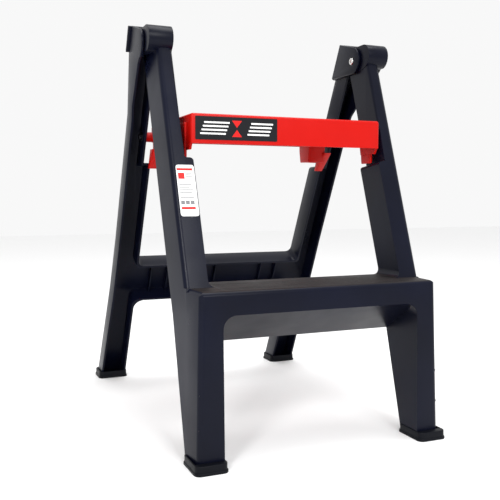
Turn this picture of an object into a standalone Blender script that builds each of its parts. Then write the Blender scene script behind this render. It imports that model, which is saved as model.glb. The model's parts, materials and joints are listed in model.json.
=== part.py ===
"""Folding sawhorse with a step tread and a platform, all moulded plastic.

Metres, +Z up, front is -Y, and the origin is on the floor under the middle of the open stand.
Two shell frames meet in a hinge at the top.  Distances along a frame are called "down", and
distances square to it, backwards from the hinge axis, are called "back".
"""
import math

import bmesh
import bpy
from mathutils import Matrix, Vector

# ---------------------------------------------------------------- driving dimensions
HINGE = Vector((0.0, -0.076, 0.640))
FRONT_LEAN = math.radians(19.8)
REAR_LEAN = math.radians(26.9)
WALL = 0.004
GAP = 0.0003
MOUTH = 0.020                      # how far a cavity runs out through its open side

# front frame
FRONT_FACE = -0.038                # back of the hinge axis, so negative is in front of it
FRONT_RIM = 0.022
FRONT_OUTER_TOP = 0.2125           # half width over the rims, at the hinge
FRONT_OUTER_FOOT = 0.2085
FRONT_DRAFT = 0.10                 # the sides come in by this much of the depth
RAIL_INNER = 0.1820                # above the shoulder
POST_INNER = 0.1680                # between shoulder and tread
LEG_INNER = 0.1650
FRONT_SHOULDER_Z = 0.4513          # at SHOULDER_Y in front of the middle
SHOULDER_Y = 0.1822
SHOULDER_FALL = -0.133
TREAD_TOP = 0.2565
TREAD_NOSE_Y = -0.3066
NOSING_HEIGHT = 0.035
APRON_FOOT = (-0.2196, 0.168)
EDGE_ROUND = 0.006

# rear frame
REAR_RIM = 0.0228
REAR_BACK = 0.0627
REAR_TOP_DOWN = -0.013
REAR_EAR_WIDTH = 0.2266            # half width over the outer ears
REAR_WAIST_WIDTH = 0.2188
REAR_FOOT_WIDTH = 0.2278
REAR_WIDTHS = ((0.03, REAR_EAR_WIDTH), (0.1425, REAR_WAIST_WIDTH), (0.40, REAR_WAIST_WIDTH),
               (0.513, 0.2205), (0.735, REAR_FOOT_WIDTH))
REAR_RAIL_INNER = 0.1880
REAR_POST_INNER = 0.1755
REAR_SHOULDER_Z = 0.4520
EAR_LEDGE_Z = 0.6165
TOP_WALL_FRONT = -0.0495           # the roof between the ears ends here
CROSSBAR_TOP = 0.447               # down from the hinge
CROSSBAR_BOTTOM = 0.530

# hinge heads and their hardware
NOSE_BACK = -0.0310
NOSE_RISE = 0.0041
NOSE_RADIUS = 0.0210
HEAD_RADIUS = 0.0247
HEAD_INNER = 0.1812
HEAD_OUTER = 0.2212
EAR_INNER_FACE = 0.1803
EAR_SLOT_OUTER = 0.2143            # the slot that the front head turns in ends here
BUSH_BORE = 0.0095
SHANK_RADIUS = 0.0058
INSERT_RADIUS = 0.0087
INSERT_X = (0.2225, 0.2249)
BUSH_X = (0.1815, 0.2209)
BOLT_HEAD_RADIUS = 0.0070
BOLT_HEAD_X = (0.1740, 0.1770)     # from its face to its seat, half sunk in the ear
BOLT_END = 0.2246
SOCKET_DEPTH = 0.0022
WASHER_RADIUS = 0.0096
WASHER_X = (0.1773, 0.1780)
COUNTERBORE = 0.1783               # how deep the ear is bored for head and washer

# platform
PLATFORM_HALF = 0.1705
PLATFORM_FRONT = -0.1819
PLATFORM_REAR = 0.0544
PLATFORM_TOP = 0.5206
BAR_BOTTOM = 0.4737
SKIRT_BOTTOM = 0.4646
SKIRT_STEP_Y = -0.1270             # the side walls are deep in front of this only
SIDE_BOTTOM = 0.4885
REAR_SKIRT_BOTTOM = 0.4900
PIVOT = Vector((0.0, 0.0430, 0.4988))
TONGUE_X = (0.1690, 0.1735)        # the front tongues swing past the bolt heads
TONGUE_FOOT_Y = (-0.1546, -0.1252)
TONGUE_ROOT_Y = (-0.1584, -0.1185)
TONGUE_ROOT_Z = 0.5080
TONGUE_LIFT = 0.0035               # mean gap between a tongue and its shoulder
LUG_X = (0.1330, 0.1690)
LUG_SIDE = ((0.0140, 0.4580), (0.0480, 0.4580), (0.0524, 0.4800), (0.0524, 0.5180), (0.0060, 0.5180))
STOP_X = (0.1650, 0.1795)
STOP_Z = (0.4418, 0.4760)
STOP_GAP = 0.0008
BOSS_RADIUS = 0.0110
RIB_BOTTOM = 0.4920
RIB_PITCH = 0.046
PIN_RADIUS = 0.0050

BAND_X = (-0.1640, -0.0242)
BAND_Z = (0.4797, 0.5159)
CARD_X = (-0.1985, -0.1695)
CARD_DOWN = (0.2270, 0.3100)

LEG_END = 0.0045                   # the legs stop this far above the floor, inside the feet
FOOT_HEIGHT = 0.0115
FRONT_FOOT_X = (0.1620, 0.2136)
FRONT_FOOT_Y = (-0.3261, -0.2605)
FRONT_SOCKET_OUTER = 0.2106
FRONT_SOCKET_Y = (-0.3130, -0.2640)
REAR_FOOT_X = (0.1716, 0.2326)
REAR_FOOT_Y = (0.2712, 0.3261)
REAR_SOCKET_OUTER = 0.2282
REAR_SOCKET_Y = (0.2745, 0.3220)


# ---------------------------------------------------------------- small helpers
def front_point(down, back):
    """A point (y, z) of the front frame's side view."""
    return (HINGE.y - down * math.sin(FRONT_LEAN) + back * math.cos(FRONT_LEAN),
            HINGE.z - down * math.cos(FRONT_LEAN) - back * math.sin(FRONT_LEAN))


def front_place(y, z):
    """The distances (down, back) of a point of the front frame."""
    dy = y - HINGE.y
    dz = z - HINGE.z
    return (-dy * math.sin(FRONT_LEAN) - dz * math.cos(FRONT_LEAN),
            dy * math.cos(FRONT_LEAN) - dz * math.sin(FRONT_LEAN))


def rear_point(down, back):
    """A point (y, z) of the rear frame's side view."""
    return (HINGE.y + down * math.sin(REAR_LEAN) + back * math.cos(REAR_LEAN),
            HINGE.z - down * math.cos(REAR_LEAN) + back * math.sin(REAR_LEAN))


def rear_place(y, z):
    """The distances (down, back) of a point of the rear frame."""
    dy = y - HINGE.y
    dz = z - HINGE.z
    return (dy * math.sin(REAR_LEAN) - dz * math.cos(REAR_LEAN),
            dy * math.cos(REAR_LEAN) + dz * math.sin(REAR_LEAN))


def between(value, stations):
    """Read a piecewise straight curve given as (place, size) pairs."""
    if value <= stations[0][0]:
        return stations[0][1]
    for (a, size_a), (b, size_b) in zip(stations, stations[1:]):
        if value <= b:
            return size_a + (size_b - size_a) * (value - a) / (b - a)
    return stations[-1][1]


def circle(center, radius, start, end, steps):
    """Points (y, z) on an arc, angles in degrees from +Y towards +Z."""
    points = []
    for i in range(steps + 1):
        angle = math.radians(start + (end - start) * i / steps)
        points.append((center[0] + radius * math.cos(angle), center[1] + radius * math.sin(angle)))
    return points


def offset(corners, shifts):
    """Move each edge of an anticlockwise outline inwards by its own shift."""
    moved = []
    for i, (y, z) in enumerate(corners):
        ny, nz = corners[(i + 1) % len(corners)]
        length = math.hypot(ny - y, nz - z)
        direction = ((ny - y) / length, (nz - z) / length)
        inward = (-direction[1] * shifts[i], direction[0] * shifts[i])
        moved.append(((y + inward[0], z + inward[1]), direction))
    result = []
    for i in range(len(corners)):
        (ay, az), (ady, adz) = moved[i - 1]
        (by, bz), (bdy, bdz) = moved[i]
        cross = ady * bdz - adz * bdy
        if abs(cross) < 1e-6:
            result.append((by, bz))
            continue
        t = ((by - ay) * bdz - (bz - az) * bdy) / cross
        result.append((ay + t * ady, az + t * adz))
    return result


def material(name, color, roughness, metallic=0.0):
    """A Principled material with one colour."""
    made = bpy.data.materials.new(name)
    made.use_nodes = True
    shader = made.node_tree.nodes["Principled BSDF"]
    shader.inputs["Base Color"].default_value = (*color, 1.0)
    shader.inputs["Roughness"].default_value = roughness
    shader.inputs["Metallic"].default_value = metallic
    return made


def add_object(name, mesh):
    """Link a mesh to the scene as an object."""
    thing = bpy.data.objects.new(name, mesh)
    bpy.context.scene.collection.objects.link(thing)
    return thing


def prism(name, outline, x0, x1):
    """Extrude an anticlockwise (y, z) outline along X."""
    bm = bmesh.new()
    near = [bm.verts.new((x0, y, z)) for y, z in outline]
    base = bm.faces.new(near)
    extruded = bmesh.ops.extrude_face_region(bm, geom=[base])
    for item in extruded["geom"]:
        if isinstance(item, bmesh.types.BMVert):
            item.co.x = x1
    bmesh.ops.recalc_face_normals(bm, faces=bm.faces)
    mesh = bpy.data.meshes.new(name)
    bm.to_mesh(mesh)
    bm.free()
    return add_object(name, mesh)


def bevel_edges(thing, wanted, width, segments=3):
    """Round the edges for which wanted(a, b) is true, a and b being their end points."""
    bm = bmesh.new()
    bm.from_mesh(thing.data)
    edges = [e for e in bm.edges if wanted(e.verts[0].co, e.verts[1].co)]
    bmesh.ops.bevel(bm, geom=edges, offset=width, segments=segments, profile=0.5, affect="EDGES")
    bm.to_mesh(thing.data)
    bm.free()


def boolean(body, tool, operation="DIFFERENCE"):
    """Cut or join with another object, which is used up."""
    step = body.modifiers.new("boolean", "BOOLEAN")
    step.solver = "EXACT"
    step.operation = operation
    step.object = tool
    depsgraph = bpy.context.evaluated_depsgraph_get()
    mesh = bpy.data.meshes.new_from_object(body.evaluated_get(depsgraph))
    body.modifiers.clear()
    bm = bmesh.new()
    bm.from_mesh(mesh)
    bmesh.ops.remove_doubles(bm, verts=bm.verts, dist=0.000005)
    bm.to_mesh(mesh)
    bm.free()
    body.data = mesh
    bpy.data.objects.remove(tool)
    return body


def rod(name, center, radius, x0, x1, steps=24):
    """A closed cylinder along X."""
    return prism(name, circle(center, radius, 0, 360 - 360 / steps, steps - 1), x0, x1)


def ring(name, center, outer, inner, x0, x1, steps=24):
    """A cylinder along X with a hole through it."""
    body = rod(name, center, outer, x0, x1, steps)
    return boolean(body, rod("hole", center, inner, x0 - 0.01, x1 + 0.01, steps))


def span(side, a, b):
    """An X range on one side of the middle, lowest value first."""
    return tuple(sorted((side * a, side * b)))


def finish(thing, name, look, pivot=None):
    """Name a part, put its origin on its pivot, shade it and give it its material."""
    thing.name = name
    thing.data.name = name
    bm = bmesh.new()
    bm.from_mesh(thing.data)
    bmesh.ops.remove_doubles(bm, verts=bm.verts, dist=0.00001)
    bmesh.ops.recalc_face_normals(bm, faces=bm.faces)
    bm.to_mesh(thing.data)
    bm.free()
    if pivot is not None:
        thing.data.transform(Matrix.Translation(-pivot))
        thing.location = pivot
    thing.data.materials.clear()
    thing.data.materials.append(look)
    thing.data.shade_smooth()
    thing.data.set_sharp_from_angle(angle=math.radians(32))
    return thing


# ---------------------------------------------------------------- front frame
def front_half_width(y, z):
    """Half the width over the outer faces at a point of the side view."""
    down, back = front_place(y, z)
    over_rims = between(down, ((0.0, FRONT_OUTER_TOP), (0.70, FRONT_OUTER_FOOT)))
    return over_rims - FRONT_DRAFT * (FRONT_RIM - back)


def front_block(inset):
    """The frame's outer form, or with an inset its cavity, which runs out at the back."""
    rim = -MOUTH if inset else 0.0
    corners = [(-0.3125, LEG_END), (-0.2667, LEG_END), front_point(0.45, FRONT_RIM),
               front_point(0.004, FRONT_RIM), front_point(0.004, FRONT_FACE),
               (front_point(0.4212, FRONT_FACE)[0], TREAD_TOP), (TREAD_NOSE_Y, TREAD_TOP)]
    shifts = [inset, rim, rim, 0.032 if inset else 0.0, inset, inset, inset]
    block = prism("block", offset(corners, shifts), -1.0, 1.0)
    for vertex in block.data.vertices:
        half = front_half_width(vertex.co.y, vertex.co.z) - inset
        vertex.co.x = math.copysign(half, vertex.co.x)
    if not inset:
        nose = (TREAD_NOSE_Y + 0.002, TREAD_TOP - 0.002)
        bevel_edges(block, lambda a, b: is_front_edge(a, b, nose), EDGE_ROUND)
    y0 = -0.45
    y1 = 0.20
    post = POST_INNER + inset
    floor = TREAD_TOP - inset
    well = prism("well", [(y0, floor), (y1, floor), (y1, 0.8), (y0, 0.8)], -post, post)
    bevel_edges(well, lambda a, b: abs(a.x - b.x) < 1e-6 and a.z + b.z < 2 * floor + 1e-6, 0.009)
    boolean(block, well)
    rail = RAIL_INNER + inset
    shelf = [(y, FRONT_SHOULDER_Z - inset + SHOULDER_FALL * (y + SHOULDER_Y)) for y in (y0, y1)]
    notch = prism("notch", shelf + [(y1, 0.8), (y0, 0.8)], -rail, rail)
    boolean(block, notch)
    leg = LEG_INNER + inset
    nosing = TREAD_TOP - NOSING_HEIGHT + inset
    slope = (APRON_FOOT[1] - (TREAD_TOP - NOSING_HEIGHT)) / (APRON_FOOT[0] - TREAD_NOSE_Y)
    rear = (-0.10, APRON_FOOT[1] + inset * 1.15 + slope * (-0.10 - APRON_FOOT[0]))
    arch = prism("arch", [(y0, -0.1), (-0.10, -0.1), rear, (TREAD_NOSE_Y, nosing), (y0, nosing)],
                 -leg, leg)
    bevel_edges(arch, lambda a, b: abs(a.x - b.x) < 1e-6 and min(a.z, b.z) > 0, 0.018, 4)
    return boolean(block, arch)


def is_front_edge(a, b, nose):
    """True for the long edges of the front and for the nose of the tread."""
    if abs(a.x - b.x) > 0.1:
        return a.y < nose[0] and a.z > nose[1]
    along_front = max(front_place(a.y, a.z)[1], front_place(b.y, b.z)[1]) < FRONT_RIM - 0.02
    return along_front and min(a.z, b.z) < 0.60 and max(a.z, b.z) - min(a.z, b.z) > 0.02


def front_head(side):
    """The wide rounded head that the hinge bolt passes through."""
    nose = (HINGE.y + NOSE_BACK, HINGE.z + NOSE_RISE)
    outline = circle((HINGE.y, HINGE.z), HEAD_RADIUS, -100, 92, 12)
    outline += circle(nose, NOSE_RADIUS, 92, 262, 12)
    return prism("head", outline, *span(side, HEAD_INNER, HEAD_OUTER))


def build_front_frame(look):
    """Two rails, the tread with its scooped apron, and two legs, moulded as one open shell."""
    frame = front_block(0.0)
    boolean(frame, front_block(WALL))
    for side in (-1, 1):
        boolean(frame, front_head(side), "UNION")
        boolean(frame, rod("bore", (HINGE.y, HINGE.z), BUSH_BORE, *span(side, 0.15, 0.25), 28))
    return finish(frame, "front_frame", look)


# ---------------------------------------------------------------- rear frame
def rear_half_width(y, z):
    """Half the width over the outer faces at a point of the side view."""
    return between(rear_place(y, z)[0], REAR_WIDTHS)


def shape_rear_sides(block, inset):
    """Crease the sides at each width station, and move them to their width."""
    bm = bmesh.new()
    bm.from_mesh(block.data)
    along = Vector((0.0, math.sin(REAR_LEAN), -math.cos(REAR_LEAN)))
    for down, _ in REAR_WIDTHS:
        bmesh.ops.bisect_plane(bm, geom=bm.verts[:] + bm.edges[:] + bm.faces[:],
                               plane_co=HINGE + along * down, plane_no=along, dist=1e-6)
    for vertex in bm.verts:
        half = rear_half_width(vertex.co.y, vertex.co.z) - inset
        vertex.co.x = math.copysign(half, vertex.co.x)
    bm.to_mesh(block.data)
    bm.free()


def rear_back_line():
    """The frame's side view along its back, from the foot up to the top."""
    return [(0.2795, LEG_END), (0.3215, LEG_END), rear_point(0.52, REAR_BACK),
            rear_point(0.40, REAR_BACK), rear_point(0.1425, REAR_BACK),
            rear_point(0.03, REAR_BACK), rear_point(REAR_TOP_DOWN, REAR_BACK)]


def rear_outline():
    """The frame's side view, with the ears that reach forward round the hinge."""
    ear = circle((HINGE.y, HINGE.z), HEAD_RADIUS, 100, 262, 9)
    return rear_back_line() + ear + [rear_point(0.115, REAR_RIM), rear_point(0.1425, REAR_RIM),
                                     rear_point(0.40, REAR_RIM), rear_point(0.52, REAR_RIM)]


def rear_cavity_outline(inset):
    """The hollow's side view: it runs out at the front, and a short roof closes its top."""
    inner = offset(rear_back_line() + [(TOP_WALL_FRONT, HINGE.z + HEAD_RADIUS + 0.007)], [inset] * 8)
    front = REAR_RIM - 0.08
    return inner[1:7] + [(TOP_WALL_FRONT, inner[6][1] - 0.005), (TOP_WALL_FRONT, 0.72), (-0.30, 0.72),
                         rear_point(0.1425, front), rear_point(0.40, front),
                         rear_point(0.52, front), (0.18, LEG_END + inset)]


def rear_block(inset):
    """The frame's outer form, or with an inset its cavity, which runs out at the front."""
    outline = rear_cavity_outline(inset) if inset else rear_outline()
    block = prism("block", outline, -1.0, 1.0)
    shape_rear_sides(block, inset)
    if not inset:
        bevel_edges(block, is_back_edge, EDGE_ROUND)
    deep = 0.15
    bar_top = CROSSBAR_TOP + inset
    post = REAR_POST_INNER + inset
    well = prism("well", [rear_point(bar_top, -deep), rear_point(bar_top, deep),
                          rear_point(-0.2, deep), rear_point(-0.2, -deep)], -post, post)
    bevel_edges(well, lambda a, b: on_down(a, b, bar_top), 0.009)
    boolean(block, well)
    rail = REAR_RAIL_INNER + inset
    low = REAR_SHOULDER_Z - inset
    high = EAR_LEDGE_Z + inset
    notch = prism("notch", [(-0.3, low), (0.3, low), (0.3, high), (-0.3, high)], -rail, rail)
    boolean(block, notch)
    bar_bottom = CROSSBAR_BOTTOM - inset
    arch = prism("arch", [rear_point(0.95, -deep), rear_point(0.95, deep),
                          rear_point(bar_bottom, deep), rear_point(bar_bottom, -deep)], -post, post)
    bevel_edges(arch, lambda a, b: on_down(a, b, bar_bottom), 0.018, 4)
    return boolean(block, arch)


def on_down(a, b, down):
    """True for an edge along the frame's depth at one distance down."""
    if abs(a.x - b.x) > 1e-6:
        return False
    return all(abs(rear_place(p.y, p.z)[0] - down) < 1e-4 for p in (a, b))


def is_back_edge(a, b):
    """True for the long outer edges along the frame's back."""
    if abs(a.x - b.x) > 0.1:
        return False
    return min(rear_place(a.y, a.z)[1], rear_place(b.y, b.z)[1]) > REAR_BACK - 0.006


def build_rear_frame(look):
    """Two rails with hinge ears and a crossbar, moulded as one shell open to the front."""
    frame = rear_block(0.0)
    boolean(frame, rear_block(WALL))
    top = (TOP_WALL_FRONT, 0.72)
    corner = (TOP_WALL_FRONT, 0.6375)
    low = rear_point(0.16, REAR_RIM - 0.0001)
    for side in (-1, 1):
        slot = prism("slot", [top, (-0.3, 0.72), (-0.3, low[1]), low, corner],
                     *span(side, EAR_INNER_FACE, EAR_SLOT_OUTER))
        boolean(frame, slot)
        hinge = (HINGE.y, HINGE.z)
        boolean(frame, rod("bolt_hole", hinge, SHANK_RADIUS + 0.0004, *span(side, 0.17, 0.19)))
        boolean(frame, rod("counterbore", hinge, WASHER_RADIUS + GAP, *span(side, 0.17, COUNTERBORE)))
        boolean(frame, rod("pocket", hinge, INSERT_RADIUS + GAP, *span(side, 0.20, 0.2252)))
        pin = (PIVOT.y, PIVOT.z)
        boolean(frame, rod("pin_hole", pin, PIN_RADIUS + GAP, *span(side, 0.18, 0.20)))
    return finish(frame, "rear_frame", look, HINGE)


# ---------------------------------------------------------------- platform
def build_platform(look):
    """The top step: a ribbed tray with a deep front bar, tongues and pivot lugs."""
    side_view = [(PLATFORM_FRONT, BAR_BOTTOM), (PLATFORM_FRONT + 0.006, BAR_BOTTOM),
                 (PLATFORM_FRONT + 0.012, SKIRT_BOTTOM), (SKIRT_STEP_Y, SKIRT_BOTTOM),
                 (SKIRT_STEP_Y + 0.005, SIDE_BOTTOM), (0.030, SIDE_BOTTOM),
                 (PLATFORM_REAR, REAR_SKIRT_BOTTOM), (PLATFORM_REAR, PLATFORM_TOP),
                 (PLATFORM_FRONT, PLATFORM_TOP)]
    tray = prism("tray", side_view, -PLATFORM_HALF, PLATFORM_HALF)
    bevel_edges(tray, lambda a, b: max(a.z, b.z) > PLATFORM_TOP - 1e-6
                and (min(a.z, b.z) > PLATFORM_TOP - 1e-6 or a.y + b.y < 2 * PLATFORM_FRONT + 1e-6),
                0.004)
    under = PLATFORM_TOP - 0.005
    pocket = [(PLATFORM_FRONT + WALL, 0.40), (PLATFORM_REAR - WALL, 0.40),
              (PLATFORM_REAR - WALL, under), (PLATFORM_FRONT + WALL, under)]
    inner = PLATFORM_HALF - WALL
    boolean(tray, prism("pocket", pocket, -inner, inner))
    # the front wall stops higher than the deep part of the side walls beside it
    gap_front = [(-0.30, 0.40), (PLATFORM_FRONT + 0.02, 0.40), (PLATFORM_FRONT + 0.02, BAR_BOTTOM),
                 (-0.30, BAR_BOTTOM)]
    boolean(tray, prism("gap", gap_front, -inner, inner))
    for i in range(7):
        x = (i - 3) * RIB_PITCH
        rib = [(PLATFORM_FRONT + 0.002, RIB_BOTTOM), (PLATFORM_REAR - 0.002, RIB_BOTTOM),
               (PLATFORM_REAR - 0.002, under + 0.002), (PLATFORM_FRONT + 0.002, under + 0.002)]
        boolean(tray, prism("rib", rib, x - 0.0015, x + 0.0015), "UNION")
    for side in (-1, 1):
        add_platform_lugs(tray, side)
    return finish(tray, "platform", look, PIVOT)


def add_platform_lugs(tray, side):
    """The front tongue, the rear stop tongue, the pivot lug and the pin's bore on one side."""
    middle = (TONGUE_FOOT_Y[0] + TONGUE_FOOT_Y[1]) / 2
    rest = FRONT_SHOULDER_Z + SHOULDER_FALL * (middle + SHOULDER_Y) + TONGUE_LIFT
    tongue = [(TONGUE_FOOT_Y[0], rest), (TONGUE_FOOT_Y[1], rest),
              (TONGUE_ROOT_Y[1], TONGUE_ROOT_Z), (TONGUE_ROOT_Y[0], TONGUE_ROOT_Z)]
    boolean(tray, prism("tongue", tongue, *span(side, *TONGUE_X)), "UNION")
    boolean(tray, prism("lug", list(LUG_SIDE), *span(side, *LUG_X)), "UNION")
    foot_y = y_on_rear_rim(STOP_Z[0]) - STOP_GAP
    root_y = y_on_rear_rim(STOP_Z[1]) - STOP_GAP
    stop = [(foot_y - 0.0072, STOP_Z[0]), (foot_y, STOP_Z[0]), (root_y, STOP_Z[1]),
            (0.0040, STOP_Z[1])]
    boolean(tray, prism("stop", stop, *span(side, *STOP_X)), "UNION")
    pin = (PIVOT.y, PIVOT.z)
    boolean(tray, rod("boss", pin, BOSS_RADIUS, *span(side, 0.1500, REAR_RAIL_INNER - 0.0008)), "UNION")
    boolean(tray, rod("bore", pin, PIN_RADIUS + GAP, *span(side, 0.12, 0.20)))


def y_on_rear_rim(z):
    """Where the rear frame's open side is at a height."""
    return HINGE.y + (REAR_RIM + (HINGE.z - z) * math.sin(REAR_LEAN)) / math.cos(REAR_LEAN)


# ---------------------------------------------------------------- feet
def foot(name, x0, x1, y0, y1, socket, look):
    """A flared cap that a leg's end stands in."""
    bm = bmesh.new()
    bmesh.ops.create_cube(bm, size=1.0)
    for vertex in bm.verts:
        vertex.co.x = x0 if vertex.co.x < 0 else x1
        vertex.co.y = y0 if vertex.co.y < 0 else y1
        vertex.co.z = 0.0 if vertex.co.z < 0 else FOOT_HEIGHT
    upright = [e for e in bm.edges if abs(e.verts[0].co.z - e.verts[1].co.z) > 0.001]
    bmesh.ops.bevel(bm, geom=upright, offset=0.009, segments=4, profile=0.5, affect="EDGES")
    rim = [e for e in bm.edges if min(v.co.z for v in e.verts) > FOOT_HEIGHT - 1e-6]
    bmesh.ops.bevel(bm, geom=rim, offset=0.0018, segments=2, profile=0.5, affect="EDGES")
    mesh = bpy.data.meshes.new(name)
    bm.to_mesh(mesh)
    bm.free()
    cap = add_object(name, mesh)
    sx0, sx1, sy0, sy1 = socket
    hollow = [(sy0, LEG_END - GAP), (sy1, LEG_END - GAP), (sy1, 0.05), (sy0, 0.05)]
    boolean(cap, prism("hollow", hollow, sx0, sx1))
    return finish(cap, name, look)


def build_feet(look):
    """Two front feet and two rear feet."""
    for side, suffix in ((-1, "left"), (1, "right")):
        outer = span(side, *FRONT_FOOT_X)
        inner = span(side, LEG_INNER - GAP, FRONT_SOCKET_OUTER)
        foot("front_foot_" + suffix, *outer, *FRONT_FOOT_Y, (*inner, *FRONT_SOCKET_Y), look)
        outer = span(side, *REAR_FOOT_X)
        inner = span(side, REAR_POST_INNER - GAP, REAR_SOCKET_OUTER)
        foot("rear_foot_" + suffix, *outer, *REAR_FOOT_Y, (*inner, *REAR_SOCKET_Y), look)


# ---------------------------------------------------------------- hinge and pivot hardware
def build_hinge_set(side, suffix, steel, nylon, brass):
    """Bolt, washer, bush and threaded insert of one hinge."""
    axis = (HINGE.y, HINGE.z)
    head = rod("bolt", axis, BOLT_HEAD_RADIUS, *span(side, *BOLT_HEAD_X))
    shank = rod("shank", axis, SHANK_RADIUS, *span(side, BOLT_HEAD_X[1] - 0.001, BOLT_END))
    boolean(head, shank, "UNION")
    socket_end = BOLT_HEAD_X[0] + SOCKET_DEPTH
    boolean(head, prism("socket", circle(axis, 0.0036, 0, 300, 5), *span(side, 0.1650, socket_end)))
    finish(head, "hinge_bolt_" + suffix, steel, HINGE)
    washer = ring("washer", axis, WASHER_RADIUS, SHANK_RADIUS + GAP, *span(side, *WASHER_X))
    finish(washer, "hinge_washer_" + suffix, steel, HINGE)
    bush = ring("bush", axis, BUSH_BORE - GAP, SHANK_RADIUS + GAP, *span(side, *BUSH_X))
    finish(bush, "hinge_bush_" + suffix, nylon, HINGE)
    insert = ring("insert", axis, INSERT_RADIUS, SHANK_RADIUS + GAP, *span(side, *INSERT_X))
    finish(insert, "hinge_insert_" + suffix, brass, HINGE)


def build_pivot_set(side, suffix, steel):
    """Pin and push-on clip of one platform pivot."""
    axis = (PIVOT.y, PIVOT.z)
    head = rod("pin", axis, 0.0070, *span(side, 0.1296, 0.1327))
    boolean(head, rod("shank", axis, PIN_RADIUS, *span(side, 0.1310, 0.1975)), "UNION")
    finish(head, "platform_pin_" + suffix, steel, PIVOT)
    wall_back = REAR_RAIL_INNER + WALL
    clip = ring("clip", axis, 0.0090, PIN_RADIUS + GAP,
                *span(side, wall_back + GAP, wall_back + 0.0016))
    finish(clip, "platform_clip_" + suffix, steel, PIVOT)


# ---------------------------------------------------------------- labels
def build_labels(dark, white):
    """A band on the platform's front bar and a card on the left rail, each with round corners."""
    thick = 0.0004
    face = PLATFORM_FRONT - GAP
    band = prism("band", [(face - thick, BAND_Z[0]), (face, BAND_Z[0]), (face, BAND_Z[1]),
                          (face - thick, BAND_Z[1])], *BAND_X)
    finish(band, "front_label", dark, PIVOT)
    back = FRONT_FACE - GAP
    card = prism("card", [front_point(CARD_DOWN[1], back - thick), front_point(CARD_DOWN[1], back),
                          front_point(CARD_DOWN[0], back), front_point(CARD_DOWN[0], back - thick)],
                 *CARD_X)
    bevel_edges(card, lambda a, b: abs(a.x - b.x) < 1e-6 and (a - b).length < 0.001, 0.004)
    finish(card, "info_label", white)


def main():
    """Clear the scene and build every part."""
    for old in list(bpy.data.objects):
        bpy.data.objects.remove(old)
    slate = material("slate_plastic", (0.014, 0.017, 0.027), 0.42)
    red = material("red_plastic", (0.62, 0.010, 0.006), 0.38)
    rubber = material("foot_plastic", (0.012, 0.014, 0.022), 0.55)
    steel = material("zinc_steel", (0.62, 0.62, 0.60), 0.28, 1.0)
    brass = material("brass", (0.70, 0.50, 0.22), 0.35, 1.0)
    nylon = material("nylon", (0.70, 0.69, 0.64), 0.50)
    dark = material("dark_label", (0.010, 0.011, 0.014), 0.35)
    white = material("white_label", (0.85, 0.85, 0.85), 0.40)
    build_front_frame(slate)
    build_rear_frame(slate)
    build_platform(red)
    build_feet(rubber)
    for side, suffix in ((-1, "left"), (1, "right")):
        build_hinge_set(side, suffix, steel, nylon, brass)
        build_pivot_set(side, suffix, steel)
    build_labels(dark, white)


main()
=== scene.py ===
# %% [markdown]
# A folding sawhorse with two steps. Two moulded plastic frames meet in a hinge at the top, the
# front one carries a grey tread, and a red platform lies between the rails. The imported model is
# the fixed frame: it says where everything is, and this file only makes the look around it. The
# hinge and the platform's pivot are read from it. Most other sizes repeat its own, and a few small
# ones, such as the bolt's head and the feet's collars, differ to look more like the real thing.

# %% Load the fixed frame
import json
import math

import bmesh
import bpy
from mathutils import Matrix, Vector

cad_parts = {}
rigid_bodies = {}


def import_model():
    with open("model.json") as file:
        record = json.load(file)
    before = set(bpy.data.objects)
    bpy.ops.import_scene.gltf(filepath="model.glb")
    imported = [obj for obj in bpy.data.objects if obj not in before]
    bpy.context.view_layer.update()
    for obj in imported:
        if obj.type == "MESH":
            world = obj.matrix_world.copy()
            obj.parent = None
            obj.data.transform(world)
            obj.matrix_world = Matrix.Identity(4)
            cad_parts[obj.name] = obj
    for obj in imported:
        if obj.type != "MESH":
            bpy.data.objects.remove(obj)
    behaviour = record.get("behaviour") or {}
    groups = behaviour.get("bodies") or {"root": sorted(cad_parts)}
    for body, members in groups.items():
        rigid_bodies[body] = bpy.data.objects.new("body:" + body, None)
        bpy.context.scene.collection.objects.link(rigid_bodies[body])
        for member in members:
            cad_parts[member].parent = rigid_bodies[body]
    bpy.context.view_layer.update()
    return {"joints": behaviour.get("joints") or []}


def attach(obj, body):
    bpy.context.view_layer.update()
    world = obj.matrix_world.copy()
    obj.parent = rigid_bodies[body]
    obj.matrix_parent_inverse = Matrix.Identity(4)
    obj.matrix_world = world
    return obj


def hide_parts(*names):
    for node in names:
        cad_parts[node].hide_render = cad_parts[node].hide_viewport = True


for old in list(bpy.data.objects):
    bpy.data.objects.remove(old)
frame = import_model()
HINGE = Vector(frame["joints"][0]["pos_m"])
PIVOT = Vector(frame["joints"][1]["pos_m"])
HINGE_AXIS = (HINGE.y, HINGE.z)
PIVOT_AXIS = (PIVOT.y, PIVOT.z)
print("frame loaded, hinge at", tuple(round(v, 3) for v in HINGE))

# %% [markdown]
# The camera stands low in front of the left side, as a person would to see both steps, the open
# hinge and the inside of the rear frame. Its long lens keeps the rails nearly straight.

# %% Camera
camera_data = bpy.data.cameras.new("camera")
camera_data.lens = 51.75
camera_data.clip_start = 0.05
camera = bpy.data.objects.new("camera", camera_data)
camera.location = (-0.5185, -1.2533, 0.3927)
camera.rotation_euler = (math.radians(85.655), 0.0, math.radians(-22.63))
bpy.context.scene.collection.objects.link(camera)
bpy.context.scene.camera = camera
print("camera lens", camera_data.lens)

# %% [markdown]
# Studio light is three soft lamps and a bright room. A dark, satin object shows its form by the
# long reflections of the lamps: one in front lights the faces of the rails, one overhead the
# tread, and a smaller one to the left draws a bright line along the rounded edges.


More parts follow.
